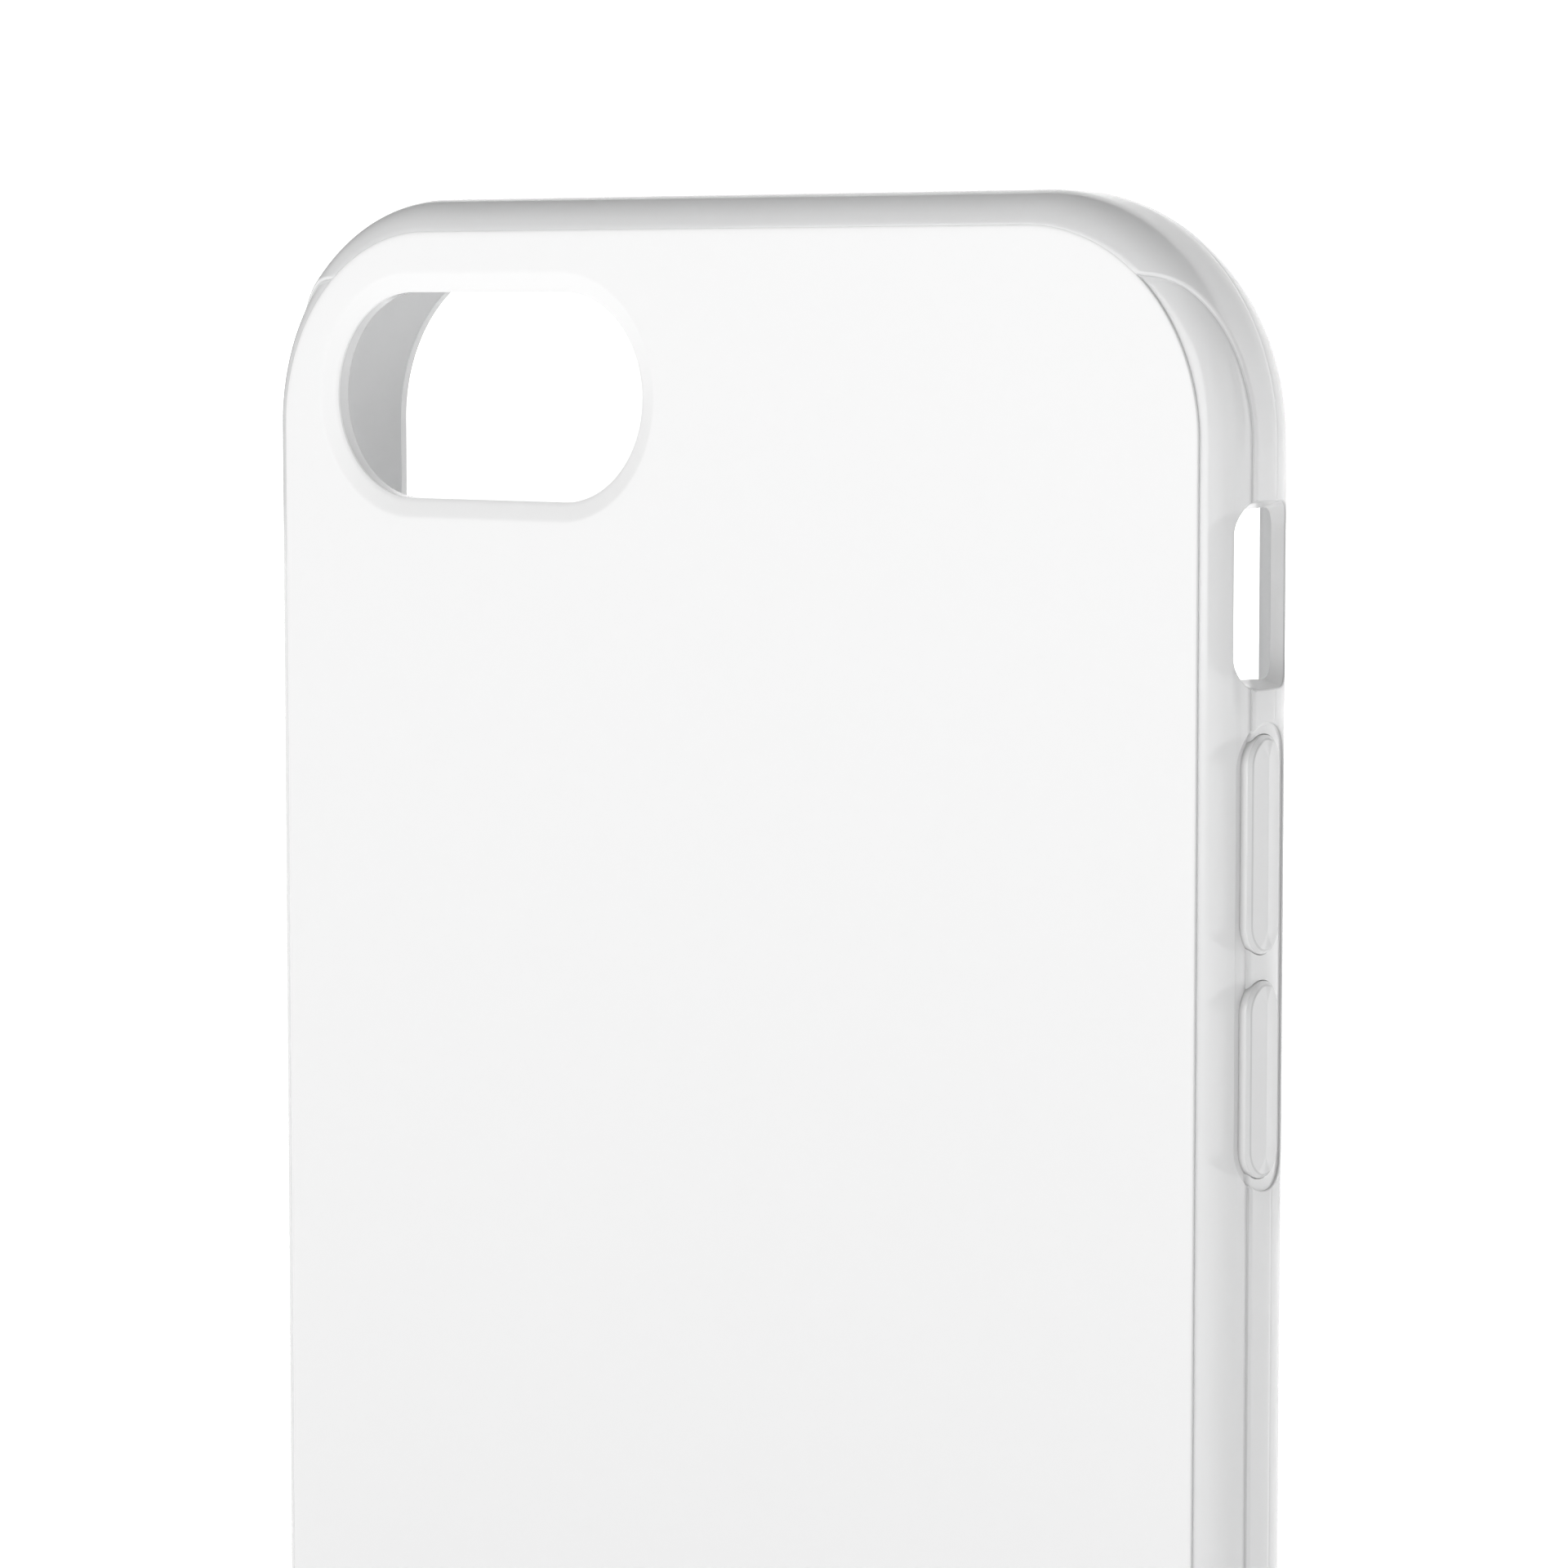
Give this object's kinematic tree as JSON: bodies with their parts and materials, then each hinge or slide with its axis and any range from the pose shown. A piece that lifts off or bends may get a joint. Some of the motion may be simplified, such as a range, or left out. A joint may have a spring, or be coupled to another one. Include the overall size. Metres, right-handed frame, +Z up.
{
  "type": "phone case",
  "caption": "Clear flexible phone case with an opaque white printed back, camera window, switch cut-out and press pads over the side buttons.",
  "frame": {"origin": "centre of the case's bounding box at its lower edge, the end with the charging port opening", "axes": "+Z up along the case's length to the camera end, +Y from the printed back to the open front, +X to the side with the switch cut-out and the volume pads"},
  "size_m": [0.0708, 0.0088, 0.1416],
  "materials": {
    "clear_tpu": "glossy clear flexible moulding",
    "white_print": "opaque white print, smooth"
  },
  "bodies": {
    "case": {"clear_shell": "clear_tpu", "back_print": "white_print"},
    "volume_up": {"volume_up_cover": "clear_tpu"},
    "volume_down": {"volume_down_cover": "clear_tpu"},
    "side_button": {"side_button_cover": "clear_tpu"}
  },
  "joints": [
    {"name": "volume_up_press", "type": "slide", "parent": "case", "child": "volume_up", "axis": [-1, 0, 0], "range_m": [0, 0.0003], "stiffness_N_per_m": 300},
    {"name": "volume_down_press", "type": "slide", "parent": "case", "child": "volume_down", "axis": [-1, 0, 0], "range_m": [0, 0.0003], "stiffness_N_per_m": 300},
    {"name": "side_button_press", "type": "slide", "parent": "case", "child": "side_button", "axis": [1, 0, 0], "range_m": [0, 0.0003], "stiffness_N_per_m": 300}
  ]
}
